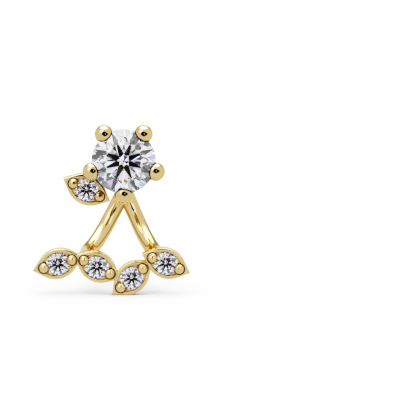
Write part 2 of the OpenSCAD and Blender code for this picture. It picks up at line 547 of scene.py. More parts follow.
@dataclass
class Draft:
    """A closed surface in the making, face up and in millimetres."""

    points: list[Point] = field(default_factory=list)
    faces: list[tuple[int, ...]] = field(default_factory=list)

    def skin(self, rings: Sequence[np.ndarray], closed: bool = False) -> Draft:
        """Stretches a surface over rings of equal count.

        Args:
            rings: Arrays of n points each, in order along the surface.
            closed: True joins the last ring to the first; False caps both ends.

        Returns:
            This draft.
        """
        base, count = len(self.points), len(rings[0])
        for ring in rings:
            self.points.extend(tuple(map(float, p)) for p in ring)
        spans = len(rings) if closed else len(rings) - 1
        for i in range(spans):
            a, b = base + i * count, base + (i + 1) % len(rings) * count
            for k in range(count):
                n = (k + 1) % count
                self.faces.append((a + k, a + n, b + n, b + k))
        if not closed:
            last = base + (len(rings) - 1) * count
            self.faces.append(tuple(range(base + count - 1, base - 1, -1)))
            self.faces.append(tuple(range(last, last + count)))
        return self

    def lathe(
        self,
        profile: Sequence[Pair],
        sides: int,
        place: Pair = (0, 0),
        closed: bool = False,
    ) -> Draft:
        """Turns a profile of (radius, height) about an axis towards the front.

        Args:
            profile: Points from the back up the outside to the front. A closed
                profile is a ring's cross-section.
            sides: Points round the axis.
            place: Where the axis stands.
            closed: True for a ring, whose profile doesn't meet the axis.

        Returns:
            This draft.
        """
        turn = np.arange(sides) * 2 * math.pi / sides
        x, y = np.cos(turn), np.sin(turn)
        rings = [
            np.column_stack([place[0] + r * x, place[1] + r * y, np.full(sides, h)])
            for r, h in profile
        ]
        return self.skin(rings, closed)

    def object(self, name: str) -> bpy.types.Object:
        """Makes a Blender object of the draft, still face up and in millimetres.

        Args:
            name: The object's name.

        Returns:
            The object, its doubled corners merged and its faces pointing outwards.
        """
        mesh = bpy.data.meshes.new(name)
        mesh.from_pydata(self.points, [], self.faces)
        shape = bmesh.new()
        shape.from_mesh(mesh)
        bmesh.ops.remove_doubles(shape, verts=shape.verts, dist=JOINED)
        bmesh.ops.recalc_face_normals(shape, faces=shape.faces)
        shape.to_mesh(mesh)
        shape.free()
        made = bpy.data.objects.new(name, mesh)
        bpy.context.scene.collection.objects.link(made)
        return made


def rounded(corners: Sequence[Point], steps: int = 5) -> list[Pair]:
    """Rounds the corners of a lathe profile.

    Args:
        corners: (radius, height, rounding) of each corner in order; the first and
            last are kept as they are.
        steps: Points on each rounding.

    Returns:
        Profile points.
    """
    out = [corners[0][:2]]
    for before, here, after in zip(corners, corners[1:], corners[2:]):
        p, q, s = (np.array(c[:2], float) for c in (before, here, after))
        reach = here[2]
        if reach <= 0:
            out.append(tuple(q))
            continue
        a = q + (p - q) / np.linalg.norm(p - q) * reach
        b = q + (s - q) / np.linalg.norm(s - q) * reach
        for t in np.linspace(0, 1, steps):
            out.append(tuple((1 - t) ** 2 * a + 2 * t * (1 - t) * q + t**2 * b))
    out.append(corners[-1][:2])
    return out


def ball_profile(radius: float, height: float, rows: int) -> list[Pair]:
    """Draws the lathe profile of a whole ball.

    Args:
        radius: The ball's radius.
        height: The height of its middle.
        rows: Spans from pole to pole.

    Returns:
        Profile points from the back to the front.
    """
    turns = np.linspace(-math.pi / 2, math.pi / 2, rows + 1)
    return [(max(radius * math.cos(t), AXIS), height + radius * math.sin(t)) for t in turns]


@dataclass(frozen=True)
class Round:
    """A ball whose surface keeps its true normals after carving."""

    middle: Point
    radius: float

    def upright(self) -> Round:
        """Returns the ball as it stands in the finished piece, in metres."""
        x, y, height = self.middle
        return Round((x * MM, -height * MM, y * MM), self.radius * MM)


def weld(mesh: bpy.types.Mesh, reach: float = 3e-4) -> None:
    """Merges corners that lie closer than a reach, and drops faces that end up back to back.

    Args:
        mesh: A closed mesh.
        reach: Distance in the mesh's own units.
    """
    shape = bmesh.new()
    shape.from_mesh(mesh)
    bmesh.ops.remove_doubles(shape, verts=shape.verts, dist=reach)
    bmesh.ops.dissolve_degenerate(shape, edges=shape.edges, dist=reach)
    bmesh.ops.triangulate(shape, faces=shape.faces)
    pairs: dict[frozenset[int], list[bmesh.types.BMFace]] = {}
    for face in shape.faces:
        pairs.setdefault(frozenset(corner.index for corner in face.verts), []).append(face)
    doubled = [face for pair in pairs.values() if len(pair) > 1 for face in pair]
    bmesh.ops.delete(shape, geom=doubled, context="FACES")
    odd = sum(len(edge.link_faces) != 2 for edge in shape.edges)
    LOG.info("welded a mesh: %d faces, %d odd edges", len(shape.faces), odd)
    shape.to_mesh(mesh)
    shape.free()


class Bench:
    """Holds a metal shape while others are soldered to it or carve it."""

    def __init__(self, blank: bpy.types.Object) -> None:
        """Starts from one closed shape."""
        self.blank = blank
        self.tools: list[bpy.types.Object] = []

    def work(self, how: Work, *tools: bpy.types.Object) -> Bench:
        """Adds or takes away closed shapes.

        Args:
            how: Whether they are soldered on or carve the metal.
            tools: The shapes, worked in turn.

        Returns:
            This bench.
        """
        for tool in tools:
            step = self.blank.modifiers.new(how.name.lower(), "BOOLEAN")
            step.operation = how.value
            step.solver = "MANIFOLD"
            step.object = tool
            self.tools.append(tool)
        return self

    def done(self) -> bpy.types.Object:
        """Applies the work and clears the tools away.

        Returns:
            One object with a plain mesh, still face up and in millimetres.
        """
        bpy.context.view_layer.update()
        graph = bpy.context.evaluated_depsgraph_get()
        mesh = bpy.data.meshes.new_from_object(self.blank.evaluated_get(graph))
        weld(mesh)
        self.blank.modifiers.clear()
        self.blank.data = mesh
        for tool in self.tools:
            bpy.data.objects.remove(tool, do_unlink=True)
        self.tools = []
        return self.blank


def rows_of(
    source: bpy.types.bpy_prop_collection, label: str, kind: type, width: int
) -> np.ndarray:
    """Reads one property of every element of a mesh.

    Args:
        source: The mesh's collection.
        label: The property's name.
        kind: float or int.
        width: How many numbers an element has.

    Returns:
        One row for each element, or a flat array where the width is 1.
    """
    values = np.empty(len(source) * width, kind)
    source.foreach_get(label, values)
    return values.reshape(-1, width) if width > 1 else values


def true_normals(mesh: bpy.types.Mesh, rounds: Sequence[Round]) -> None:
    """Gives corners on known balls the ball's own normals, so that reflections run true.

    Args:
        mesh: A mesh that already has its smooth and sharp edges.
        rounds: The balls, in the mesh's own units.
    """
    corners = rows_of(mesh.corner_normals, "vector", float, 3)
    places = rows_of(mesh.vertices, "co", float, 3)
    facing = rows_of(mesh.polygons, "normal", float, 3)
    owner = rows_of(mesh.loops, "vertex_index", int, 1)
    total = rows_of(mesh.polygons, "loop_total", int, 1)
    face_of = np.repeat(np.arange(len(total)), total)
    near, least_facing = 0.004, 0.93
    for known in rounds:
        away = places - np.array(known.middle)
        reach = np.linalg.norm(away, axis=1)
        on = np.abs(reach - known.radius) < near * known.radius
        outward = away / np.maximum(reach, 1e-12)[:, None]
        fits = on[owner] & ((facing[face_of] * outward[owner]).sum(axis=1) > least_facing)
        whole = np.ones(len(total), bool)
        np.logical_and.at(whole, face_of, fits)
        chosen = whole[face_of]
        corners[chosen] = outward[owner[chosen]]
    mesh.normals_split_custom_set(corners.tolist())


@dataclass(frozen=True)
class Stand:
    """Turns a face-up shape into a finished piece: upright, in metres, dressed."""

    body: Body
    slot: Slot
    finish: bpy.types.Material

    def finished(
        self,
        shape: bpy.types.Object,
        name: str,
        node: str,
        rounds: Sequence[Round] = (),
    ) -> bpy.types.Object:
        """Finishes one piece.

        Args:
            shape: The face-up shape in millimetres.
            name: The piece's name.
            node: The CAD node that it stands for.
            rounds: Balls of the metal whose normals are known.

        Returns:
            The piece, which rides on its body.
        """
        mesh = shape.data
        mesh.transform(Matrix.Scale(MM, 4) @ Matrix.Rotation(math.pi / 2, 4, "X"))
        mesh.materials.clear()
        mesh.materials.append(self.finish)
        mesh.polygons.foreach_set("material_index", [0] * len(mesh.polygons))
        if self.slot is Slot.GOLD:
            mesh.shade_smooth()
            mesh.set_sharp_from_angle(angle=math.radians(CRISP_DEG))
            true_normals(mesh, [known.upright() for known in rounds])
        else:
            mesh.shade_flat()
        shape.name = name
        mesh.name = name
        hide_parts(node)
        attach(shape, self.body.value)
        LOG.info("%s: %d faces on %s", name, len(mesh.polygons), self.body.value)
        return shape


# Geometry node tools


class PathTool:
    """A geometry node tree with named inputs, run once on an object's mesh."""

    def __init__(self, name: str, inputs: Mapping[str, float | int]) -> None:
        """Makes the tree with its geometry sockets and named inputs.

        Args:
            name: The tree's name.
            inputs: The number of each named input.
        """
        self.tree = bpy.data.node_groups.new(name, "GeometryNodeTree")
        face = self.tree.interface
        face.new_socket("Geometry", in_out="INPUT", socket_type="NodeSocketGeometry")
        face.new_socket("Geometry", in_out="OUTPUT", socket_type="NodeSocketGeometry")
        self.identifiers: dict[str, str] = {}
        self.values = dict(inputs)
        for label, value in inputs.items():
            kind = "NodeSocketInt" if isinstance(value, int) else "NodeSocketFloat"
            made = face.new_socket(label, in_out="INPUT", socket_type=kind)
            self.identifiers[label] = made.identifier
        self.sheet = NodeSheet(self.tree)
        self.entry = self.sheet.node("NodeGroupInput")

    def entering(self, label: str = "Geometry") -> Signal:
        """Returns an input of the tree by name."""
        return self.sheet.output(self.entry, label)

    def attribute(self, label: str) -> Signal:
        """Reads a number stored on the points."""
        kind = {"data_type": "FLOAT"}
        return self.sheet.signal("GeometryNodeInputNamedAttribute", kind, {"Name": label})

    def finish(self, geometry: Signal, material: bpy.types.Material) -> None:
        """Ends the tree in plain geometry of one material.

        Args:
            geometry: What the tree has built.
            material: Its finish.
        """
        real = self.sheet.signal("GeometryNodeRealizeInstances", None, {"Geometry": geometry})
        dressed = self.sheet.signal(
            "GeometryNodeSetMaterial", None, {"Geometry": real, "Material": material}
        )
        self.sheet.node("NodeGroupOutput", None, {"Geometry": dressed})

    def run(self, carrier: bpy.types.Object) -> bpy.types.Object:
        """Runs the tree on an object.

        Args:
            carrier: Its mesh holds the points or path that the tree reads.

        Returns:
            The same object with the result as a plain mesh.
        """
        step = carrier.modifiers.new(self.tree.name, "NODES")
        step.node_group = self.tree
        for label, value in self.values.items():
            step[self.identifiers[label]] = value
        bpy.context.view_layer.update()
        graph = bpy.context.evaluated_depsgraph_get()
        mesh = bpy.data.meshes.new_from_object(carrier.evaluated_get(graph))
        carrier.modifiers.clear()
        carrier.data = mesh
        return carrier


def carrier(
    name: str,
    points: Sequence[Point],
    edges: Sequence[tuple[int, int]] = (),
    numbers: Mapping[str, Sequence[float]] | None = None,
) -> bpy.types.Object:
    """Makes the points or path that a geometry node tree works on.

    Args:
        name: The object's name.
        points: The points.
        edges: Pairs of points that a path joins.
        numbers: Named rows of numbers, one number for each point.

    Returns:
        The object.
    """
    mesh = bpy.data.meshes.new(name)
    mesh.from_pydata([tuple(p) for p in points], list(edges), [])
    for label, row in (numbers or {}).items():
        mesh.attributes.new(label, "FLOAT", "POINT").data.foreach_set("value", list(row))
    made = bpy.data.objects.new(name, mesh)
    bpy.context.scene.collection.objects.link(made)
    return made


def swept_wires(
    name: str,
    paths: Sequence[Sequence[Point]],
    radii: Sequence[float],
    sides: int,
    material: bpy.types.Material,
) -> bpy.types.Object:
    """Draws round wires along paths of equal count.

    Args:
        name: The tree's and object's name.
        paths: Points of each wire's path in order.
        radii: Radius at each point of a path.
        sides: Sides of each wire.
        material: The finish of the wires.

    Returns:
        The plain mesh object.
    """
    tool = PathTool(name, {"Sides": sides})
    sheet = tool.sheet
    curve = sheet.signal("GeometryNodeMeshToCurve", None, {"Mesh": tool.entering()})
    profile = sheet.signal(
        "GeometryNodeCurvePrimitiveCircle",
        None,
        {"Resolution": tool.entering("Sides"), "Radius": 1.0},
    )
    wire = sheet.signal(
        "GeometryNodeCurveToMesh",
        None,
        {
            "Curve": curve,
            "Profile Curve": profile,
            "Scale": tool.attribute("wire_radius"),
            "Fill Caps": True,
        },
    )
    tool.finish(wire, material)
    count = len(radii)
    starts = [j * count + i for j in range(len(paths)) for i in range(count - 1)]
    edges = [(i, i + 1) for i in starts]
    points = [point for path in paths for point in path]
    return tool.run(carrier(name, points, edges, {"wire_radius": list(radii) * len(paths)}))


def repeated(
    name: str,
    points: Sequence[Point],
    turns: Sequence[float],
    pattern: Callable[[PathTool], Signal],
    inputs: Mapping[str, float | int],
    material: bpy.types.Material,
) -> bpy.types.Object:
    """Sets a pattern at each point, turned to its heading.

    Args:
        name: The tree's and object's name.
        points: Where the copies go.
        turns: Heading of each copy, in radians.
        pattern: Builds the geometry to repeat, drawn at the origin and facing +x.
        inputs: Named sizes that the pattern reads.
        material: The finish of the result.

    Returns:
        The plain mesh object.
    """
    tool = PathTool(name, inputs)
    heading = tool.sheet.signal("ShaderNodeCombineXYZ", None, {"Z": tool.attribute("heading")})
    copies = tool.sheet.signal(
        "GeometryNodeInstanceOnPoints",
        None,
        {"Points": tool.entering(), "Instance": pattern(tool), "Rotation": heading},
    )
    tool.finish(copies, material)
    return tool.run(carrier(name, points, (), {"heading": turns}))


def ball_pattern(tool: PathTool) -> Signal:
    """Builds one ball.

    Args:
        tool: The tree, whose inputs give the radius, sides and rows.

    Returns:
        The ball as geometry.
    """
    sizes = {"Segments": "Sides", "Rings": "Rows", "Radius": "Radius"}
    values = {socket: tool.entering(label) for socket, label in sizes.items()}
    return tool.sheet.signal("GeometryNodeMeshUVSphere", None, values)


def bead_pattern(tool: PathTool) -> Signal:
    """Builds two balls, one to either side.

    Args:
        tool: The tree, whose inputs also give the reach to each side.

    Returns:
        Both balls as one geometry.
    """
    sheet = tool.sheet
    bead = ball_pattern(tool)
    pair = sheet.node("GeometryNodeJoinGeometry")
    for side in (-1.0, 1.0):
        reach = side * tool.entering("Reach")
        offset = sheet.signal("ShaderNodeCombineXYZ", None, {"X": reach})
        moved = sheet.signal(
            "GeometryNodeTransform", None, {"Geometry": bead, "Translation": offset}
        )
        sheet.tree.links.new(moved.socket, pair.inputs[0])
    return sheet.output(pair, 0)


# Stones


@dataclass(frozen=True)
class Brilliant:
    """Round brilliant cut, its girdle's top at height 0 and its table to the front."""

    diameter: float
    table: float = 0.57
    crown_deg: float = 34.5
    pavilion_deg: float = 40.3
    girdle: float = 0.03
    lower_halves: float = 0.75
    turn_deg: float = 22.5
    tip_deg: float = 0.0
    culet: float = 0.0
    gap: float = 0.02
    girdle_sides: int = LARGE
    girdle_lean: float = 0.05
    blank_span: Pair = (-1.2, 0.6)

    @property
    def crown(self) -> float:
        """Height of the table above the girdle."""
        return self.diameter / 2 * (1 - self.table) * math.tan(math.radians(self.crown_deg))

    @property
    def pavilion(self) -> float:
        """Depth of the pavilion below the girdle."""
        return self.diameter / 2 * math.tan(math.radians(self.pavilion_deg))

    def stance(self, place: Point) -> Matrix:
        """Takes the stone to its place, its table tipped up."""
        return Matrix.Translation(place) @ Matrix.Rotation(math.radians(-self.tip_deg), 4, "X")

    def _planes(self) -> list[tuple[np.ndarray, np.ndarray]]:
        """Lists the facets that close the stone above and below its girdle.

        Returns:
            A point and an outward normal for each facet.
        """
        r = self.diameter / 2
        t = r * self.table
        up, down = math.radians(self.crown_deg), math.radians(self.pavilion_deg)
        half = math.pi / 8
        thick = self.diameter * self.girdle
        star_r = (t * math.cos(half) + r) / 2
        star_h = self.crown - (star_r * math.cos(half) - t) * math.tan(up)
        low_r = r * (1 - self.lower_halves)
        low_h = -thick - (r - low_r * math.cos(half)) * math.tan(down)
        inside = np.array([0, 0, -0.2 * r])

        def at(radius: float, turn: float, height: float) -> np.ndarray:
            """Returns a point by its radius, turn and height."""
            return np.array([radius * math.cos(turn), radius * math.sin(turn), height])

        def through(a: np.ndarray, b: np.ndarray, c: np.ndarray) -> tuple[np.ndarray, np.ndarray]:
            """Lays a facet through three points.

            Args:
                a: The first point.
                b: The second point.
                c: The third point.

            Returns:
                The first point and the facet's outward normal.
            """
            normal = np.cross(b - a, c - a)
            normal /= np.linalg.norm(normal)
            return a, normal if normal @ (a - inside) > 0 else -normal

        ahead = np.array([0, 0, 1.0])
        planes = [(self.crown * ahead, ahead)]
        if self.culet:
            planes.append((-(thick + self.pavilion * (1 - self.culet)) * ahead, -ahead))
        for k in range(8):
            q = k * math.pi / 4
            table, table_next = at(t, q, self.crown), at(t, q + 2 * half, self.crown)
            star, low = at(star_r, q + half, star_h), at(low_r, q + half, low_h)
            rim, rim_half, rim_next = (at(r, q + i * half, 0) for i in range(3))
            foot, foot_half, foot_next = (at(r, q + i * half, -thick) for i in range(3))
            planes += [
                through(table, table_next, star),
                (rim, at(math.sin(up), q, math.cos(up))),
                through(star, rim, rim_half),
                through(star, rim_half, rim_next),
                (foot, at(math.sin(down), q, -math.cos(down))),
                through(low, foot, foot_half),
                through(low, foot_half, foot_next),
            ]
        return planes

    def cut(self, name: str, place: Point) -> bpy.types.Object:
        """Cuts the stone from a round blank, one facet at a time.

        Args:
            name: The object's name.
            place: Where the middle of the girdle's top goes.

        Returns:
            The stone, face up and in millimetres.
        """
        r = self.diameter / 2
        low, high = self.blank_span
        made = Draft().lathe([(r, low * r), (r, high * r)], self.girdle_sides).object(name)
        shape = bmesh.new()
        shape.from_mesh(made.data)
        for point, normal in self._planes():
            cut = bmesh.ops.bisect_plane(
                shape,
                geom=shape.verts[:] + shape.edges[:] + shape.faces[:],
                dist=TOUCH,
                plane_co=Vector(point),
                plane_no=Vector(normal),
                clear_outer=True,
            )
            rim = [e for e in cut["geom_cut"] if isinstance(e, bmesh.types.BMEdge)]
            open_rim = [e for e in rim if e.is_valid and len(e.link_faces) == 1]
            if len(open_rim) > 2:
                bmesh.ops.contextual_create(shape, geom=open_rim)
        bmesh.ops.remove_doubles(shape, verts=shape.verts, dist=JOINED)
        bmesh.ops.dissolve_degenerate(shape, edges=shape.edges, dist=TOUCH)
        bmesh.ops.recalc_face_normals(shape, faces=shape.faces)
        band = shape.faces.layers.float.new(GIRDLE)
        for face in shape.faces:
            face[band] = float(abs(face.normal.z) < self.girdle_lean)
        bmesh.ops.transform(
            shape,
            matrix=self.stance(place) @ Matrix.Rotation(math.radians(self.turn_deg), 4, "Z"),
            verts=shape.verts,
        )
        shape.to_mesh(made.data)
        shape.free()
        return made

    def room(self, name: str, place: Point) -> bpy.types.Object:
        """Makes the room that the stone takes out of the metal.

        Args:
            name: The object's name.
            place: Where the middle of the girdle's top goes.

        Returns:
            A closed shape to carve with.
        """
        r, thick, gap = self.diameter / 2, self.diameter * self.girdle, self.gap
        up, down = math.radians(self.crown_deg), math.radians(self.pavilion_deg)
        profile = [
            (AXIS, -thick - self.pavilion - gap / math.cos(down)),
            (r + gap, -thick - gap * (1 / math.cos(down) - math.tan(down))),
            (r + gap, gap * (1 / math.cos(up) - math.tan(up))),
            (r * self.table + gap, self.crown + gap),
            (AXIS, self.crown + gap),
        ]
        made = Draft().lathe(profile, self.girdle_sides).object(name)
        made.data.transform(self.stance(place))
        return made

    def set_in(self, stand: Stand, name: str, node: str, place: Point) -> bpy.types.Object:
        """Cuts the stone and finishes it.

        Args:
            stand: What it is turned into a piece with.
            name: The piece's name.
            node: The CAD node that it stands for.
            place: Where the middle of the girdle's top goes.

        Returns:
            The finished piece.
        """
        return stand.finished(self.cut(name, place), name, node)


# Leaves


@dataclass(frozen=True)
class Leaf:
    """One pointed leaf with a raised rim, a small stone and two beads."""

    x: float
    y: float
    turn_deg: float
    front: float
    length: float = 4.04
    width: float = 2.34
    tip_deg: float = 42.0
    thick: float = 1.1
    back_round: float = 0.06
    rim: float = 0.3
    rim_round: float = 0.1
    rim_break: float = 0.03
    recess: float = 0.12
    bead_d: float = 0.84
    bead_reach: float = 1.12
    bead_lift: float = 0.03
    cup_r: float = 0.46
    cup_depth: float = 0.13
    cup_round: float = 0.05
    line_w: float = 0.085
    line_depth: float = 0.09
    line_over: float = 0.02
    line_lap: float = 0.1
    hole_r: float = 0.22
    stone: Brilliant = Brilliant(1.8, pavilion_deg=40.5)

    @property
    def floor(self) -> float:
        """Height of the floor inside the rim."""
        return self.front - self.recess

    @property
    def place(self) -> Matrix:
        """Takes the leaf's own frame to its place."""
        turn = Matrix.Rotation(math.radians(self.turn_deg), 4, "Z")
        return Matrix.Translation((self.x, self.y, 0)) @ turn

    def outline(self, inset: float, height: float) -> np.ndarray:
        """Draws the leaf's outline.

        Args:
            inset: How far it is drawn in from the leaf's edge.
            height: Height of the outline.

        Returns:
            Points in order round the leaf: two arcs that run out into straight tips.
        """
        a = math.radians(self.tip_deg)
        belly = (self.length / 2 * math.sin(a) - self.width / 2 * math.cos(a)) / (1 - math.cos(a))
        arc_y, r = self.width / 2 - belly, belly - inset
        tip = self.length / 2 - inset / math.sin(a)
        turns = np.linspace(a, -a, 61)
        upper = np.column_stack([r * np.sin(turns), arc_y + r * np.cos(turns)])
        flat = np.vstack([[tip, 0], upper, [-tip, 0], -upper])
        spin = math.radians(self.turn_deg)
        c, s = math.cos(spin), math.sin(spin)
        return np.column_stack(
            [
                self.x + c * flat[:, 0] - s * flat[:, 1],
                self.y + s * flat[:, 0] + c * flat[:, 1],
                np.full(len(flat), height),
            ]
        )

    def bead_points(self) -> list[Point]:
        """Returns the middles of the two beads."""
        spots = [(side * self.bead_reach, 0, self.floor + self.bead_lift) for side in (-1, 1)]
        return [tuple(self.place @ Vector(spot)) for spot in spots]

    def blank(self, name: str) -> bpy.types.Object:
        """Makes the leaf's body, with its outer edges rounded over.

        Args:
            name: The object's name.

        Returns:
            A closed shape.
        """
        back, soft, rim = self.front - self.thick, self.back_round, self.rim_round
        rings = [
            self.outline(soft * (1 - math.cos(t)), back + soft * (1 - math.sin(t)))
            for t in np.linspace(math.pi / 2, 0, 4)
        ]
        rings += [
            self.outline(rim * (1 - math.cos(t)), self.front - rim * (1 - math.sin(t)))
            for t in np.linspace(0, math.pi / 2, 8)
        ]
        return Draft().skin(rings).object(name)

    def prism(self, name: str, inset: float, low: float, high: float) -> bpy.types.Object:
        """Makes a straight-sided block of the leaf's outline."""
        return Draft().skin([self.outline(inset, low), self.outline(inset, high)]).object(name)

    def pocket(self, name: str) -> bpy.types.Object:
        """Makes the recess inside the rim, with the rim's inner edge broken.

        Args:
            name: The object's name.

        Returns:
            A closed shape to carve with.
        """
        wide = self.rim - self.rim_break
        rings = [
            self.outline(self.rim, self.floor),
            self.outline(self.rim, self.front - self.rim_break),
            self.outline(wide, self.front),
            self.outline(wide, self.front + OVER),
        ]
        return Draft().skin(rings).object(name)

    def cups(self, name: str) -> list[bpy.types.Object]:
        """Makes the round cuts in which the two beads stand.

        Args:
            name: The start of the objects' names.

        Returns:
            Two closed shapes to carve with.
        """
        r, low, high = self.cup_r, self.floor - self.cup_depth, self.front + OVER
        profile = rounded([(AXIS, low, 0), (r, low, self.cup_round), (r, high, 0), (AXIS, high, 0)])
        return [
            Draft().lathe(profile, MIDDLE, p[:2]).object(f"{name}_{i}")
            for i, p in enumerate(self.bead_points())
        ]

    def lines(self, name: str) -> list[bpy.types.Object]:
        """Makes the engraved lines along the rim and round the stone.

        Args:
            name: The start of the objects' names.

        Returns:
            Two closed rings to carve with.
        """
        low, high = self.floor - self.line_depth, self.floor + self.line_over
        courses = [(self.rim, low), (self.rim, high)]
        courses += [(self.rim + self.line_w, high), (self.rim + self.line_w, low)]
        ring = [self.outline(inset, height) for inset, height in courses]
        r = self.stone.diameter / 2
        inner, outer = r - self.line_lap, r + self.line_w
        profile = [(inner, low), (outer, low), (outer, high), (inner, high)]
        return [
            Draft().skin(ring, closed=True).object(f"{name}_rim"),
            Draft().lathe(profile, LARGE, (self.x, self.y), closed=True).object(f"{name}_stone"),
        ]

    def stone_place(self) -> Point:
        """Returns where the small stone's girdle goes."""
        return (self.x, self.y, self.floor)

    def seat(self, name: str) -> list[bpy.types.Object]:
        """Makes the small stone's room and the hole from it to the back.

        Args:
            name: The room's name, and the start of the hole's.

        Returns:
            Two closed shapes to carve with.
        """
        x, y, height = self.stone_place()
        r, low, high = self.hole_r, height - self.thick, height - self.stone.pavilion / 2
        profile = [(AXIS, low), (r, low), (r, high), (AXIS, high)]
        hole = Draft().lathe(profile, SMALL, (x, y)).object(f"{name}_hole")
        return [self.stone.room(name, self.stone_place()), hole]


def beads(leaves: Sequence[Leaf], name: str, material: bpy.types.Material) -> bpy.types.Object:
    """Sets a pair of beads on every leaf.

    Args:
        leaves: The leaves.
        name: The tree's and object's name.
        material: The finish of the beads.

    Returns:
        All beads as one mesh of separate balls.
    """
    first = leaves[0]
    sizes = {"Radius": first.bead_d / 2, "Reach": first.bead_reach, "Sides": 48, "Rows": 24}
    points = [(leaf.x, leaf.y, leaf.floor + leaf.bead_lift) for leaf in leaves]
    turns = [math.radians(leaf.turn_deg) for leaf in leaves]
    return repeated(name, points, turns, bead_pattern, sizes, material)


# The stud


@dataclass
class Stud:
    """Ball-prong head with its post, main stone, small leaf and ear back.

    The ear back's profile gives the radius, depth behind its face and rounding of each
    corner.
    """

    gold: bpy.types.Material
    diamond: bpy.types.Material
    lobe: float = 2.4
    base_t: float = 0.3
    base_r: float = 1.05
    base_round: tuple[float, float, float] = (0.03, 0.06, 0.08)
    post_r: float = 0.4
    post_end: float = -7.0
    prongs: int = 5
    first_prong_deg: float = 270.0
    ball_r: float = 0.73
    ball_orbit: float = 2.6
    ball_drop: float = 0.25
    prong_r: float = 0.3
    foot_r: float = 0.8
    foot_sink: float = 0.8
    gallery_r: float = 1.75
    gallery_wire_r: float = 0.22
    gallery_rise: float = 1.15
    bar_r: float = 0.28
    bar_reach: float = 2.85
    back_face: float = -3.68
    back_profile: tuple[Point, ...] = (
        (0.42, 0.0, 0.05), (0.42, 2.5, 0.05), (0.95, 2.5, 0.2), (0.95, 0.62, 0.08),
        (1.09, 0.5, 0.08), (1.25, 0.42, 0.1), (1.25, 0.0, 0.14),
    )
    stone_h: float = 5.1544
    stone: Brilliant = Brilliant(5.0, tip_deg=3.5, culet=0.026)
    leaf: Leaf = Leaf(-2.91, -2.35, -26.5, 4.1)

    def _headings(self) -> list[float]:
        """Returns the headings of the prongs."""
        turns = [self.first_prong_deg + k * 360 / self.prongs for k in range(self.prongs)]
        return [math.radians(turn) for turn in turns]

    def _tops(self) -> list[Point]:
        """Finds the middles of the balls.

        Returns:
            Points round the stone, tipped with it.
        """
        stance = self.stone.stance((0, 0, self.stone_h))
        orbit, drop = self.ball_orbit, self.ball_drop
        return [
            tuple(stance @ Vector((orbit * math.cos(t), orbit * math.sin(t), -drop)))
            for t in self._headings()
        ]

    def _balls(self) -> bpy.types.Object:
        """Sets the ball prongs round the stone."""
        sizes = {"Radius": self.ball_r, "Sides": 80, "Rows": 40}
        return repeated("head_balls", self._tops(), self._headings(), ball_pattern, sizes, self.gold)

    def _wires(self) -> bpy.types.Object:
        """Draws the prong wires from the base out to the balls.

        Returns:
            All wires as one mesh.
        """
        r, foot_h = self.foot_r, self.lobe + self.foot_sink * self.base_t
        feet = [(r * math.cos(t), r * math.sin(t), foot_h) for t in self._headings()]
        paths = [[foot, top] for foot, top in zip(feet, self._tops())]
        return swept_wires("head_wires", paths, [self.prong_r] * 2, WIRE, self.gold)

    def _base_and_post(self) -> bpy.types.Object:
        """Turns the base disc and the ear post with its rounded end.

        Returns:
            A closed shape. The post's end starts a hair off its axis.
        """
        r, top, end = self.post_r, self.lobe + self.base_t, self.post_end + self.post_r
        turns = np.linspace(0.002, math.pi / 2, 10)
        profile = [(r * math.sin(t), end - r * math.cos(t)) for t in turns]
        neck, low, high = self.base_round
        corners = [
            (r, end, 0),
            (r, self.lobe, neck),
            (self.base_r, self.lobe, low),
            (self.base_r, top, high),
            (AXIS, top, 0),
        ]
        profile += rounded(corners)[1:]
        return Draft().lathe(profile, MIDDLE).object("base_and_post")

    def _gallery(self) -> bpy.types.Object:
        """Turns the ring that braces the prongs.

        Returns:
            A closed ring of round wire.
        """
        h, r, wire = self.lobe + self.gallery_rise, self.gallery_r, self.gallery_wire_r
        turns = np.arange(24) * math.pi / 12
        ring = [(r + wire * math.cos(t), h + wire * math.sin(t)) for t in turns]
        return Draft().lathe(ring, LARGE, closed=True).object("gallery")

    def _bar(self) -> bpy.types.Object:
        """Draws the bar from the gallery to the small leaf.

        Returns:
            One round wire.
        """
        heading = math.atan2(self.leaf.y, self.leaf.x)
        h, ends = self.lobe + self.gallery_rise, (self.gallery_r, self.bar_reach)
        path = [(r * math.cos(heading), r * math.sin(heading), h) for r in ends]
        return swept_wires("leaf_bar", [path], [self.bar_r] * 2, WIRE, self.gold)

    def metal(self) -> bpy.types.Object:
        """Solders the head, post and small leaf into one piece.

        Returns:
            The finished piece.
        """
        leaf = self.leaf
        plate = Bench(leaf.blank("stud_leaf_blank"))
        plate.work(Work.CARVE, leaf.pocket("stud_leaf_pocket"))
        plate.work(Work.CARVE, *leaf.lines("stud_leaf_line"), *leaf.cups("stud_leaf_cup"))
        head = Bench(self._base_and_post())
        head.work(Work.SOLDER, self._gallery(), self._wires(), self._balls(), self._bar(), plate.done())
        head.work(Work.SOLDER, beads([leaf], "stud_leaf_beads", self.gold))
        head.work(Work.CARVE, self.stone.room("main_room", (0, 0, self.stone_h)))
        head.work(Work.CARVE, *leaf.seat("stud_leaf_room"))
        rounds = [Round(top, self.ball_r) for top in self._tops()]
        rounds += [Round(p, leaf.bead_d / 2) for p in leaf.bead_points()]
        stand = Stand(Body.STUD, Slot.GOLD, self.gold)
        return stand.finished(head.done(), "stud_metal", "stud_setting", rounds)

    def stones(self) -> list[bpy.types.Object]:
        """Cuts the main stone and the small one.

        Returns:
            Both finished pieces.
        """
        stand, leaf = Stand(Body.STUD, Slot.DIAMOND, self.diamond), self.leaf
        main = self.stone.set_in(stand, "main_brilliant", "centre_stone", (0, 0, self.stone_h))
        small = leaf.stone.set_in(
            stand, "stud_leaf_brilliant", "stud_leaf_stone", leaf.stone_place()
        )
        return [main, small]

